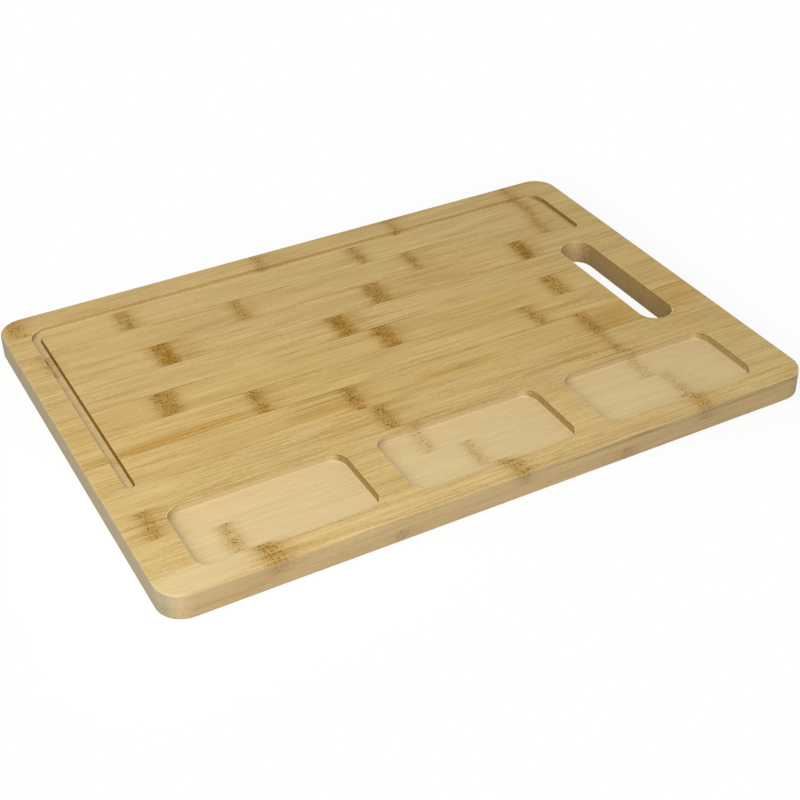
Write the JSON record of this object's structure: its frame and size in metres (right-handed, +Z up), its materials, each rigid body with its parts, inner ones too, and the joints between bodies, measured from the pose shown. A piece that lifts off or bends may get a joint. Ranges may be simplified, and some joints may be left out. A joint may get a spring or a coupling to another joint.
{
  "type": "cutting board",
  "caption": "Flat rectangular bamboo cutting board glued from strips, with a hand slot at one end, a juice groove and a row of shallow wells along one edge.",
  "frame": {"origin": "middle of the underside, at the centre of the board's length and width", "axes": "+X along the board towards the hand slot, +Y from the wells' edge towards the back edge, +Z up through the cutting face"},
  "size_m": [0.379, 0.2724, 0.015],
  "materials": {
    "pale_bamboo": "fine-sanded, lightly oiled, satin",
    "honey_bamboo": "fine-sanded, lightly oiled, satin",
    "amber_bamboo": "fine-sanded, lightly oiled, satin"
  },
  "bodies": {
    "root": {"bottom_strip_01": "amber_bamboo", "bottom_strip_02": "pale_bamboo", "bottom_strip_03": "honey_bamboo", "bottom_strip_04": "honey_bamboo", "bottom_strip_05": "amber_bamboo", "bottom_strip_06": "pale_bamboo", "bottom_strip_06_grip_end": "pale_bamboo", "bottom_strip_07": "honey_bamboo", "bottom_strip_07_grip_end": "honey_bamboo", "bottom_strip_08": "honey_bamboo", "bottom_strip_08_grip_end": "honey_bamboo", "bottom_strip_09": "amber_bamboo", "bottom_strip_10": "pale_bamboo", "bottom_strip_11": "honey_bamboo", "bottom_strip_12": "honey_bamboo", "bottom_strip_13": "amber_bamboo", "top_strip_01": "pale_bamboo", "top_strip_02": "pale_bamboo", "top_strip_03": "honey_bamboo", "top_strip_04": "honey_bamboo", "top_strip_05": "amber_bamboo", "top_strip_05_grip_end": "amber_bamboo", "top_strip_06": "amber_bamboo", "top_strip_06_grip_end": "amber_bamboo", "top_strip_07": "amber_bamboo", "top_strip_07_grip_end": "amber_bamboo", "top_strip_08": "honey_bamboo", "top_strip_08_grip_end": "honey_bamboo", "top_strip_09": "pale_bamboo", "top_strip_10": "honey_bamboo", "top_strip_11": "honey_bamboo", "top_strip_12": "honey_bamboo"}
  },
  "joints": []
}
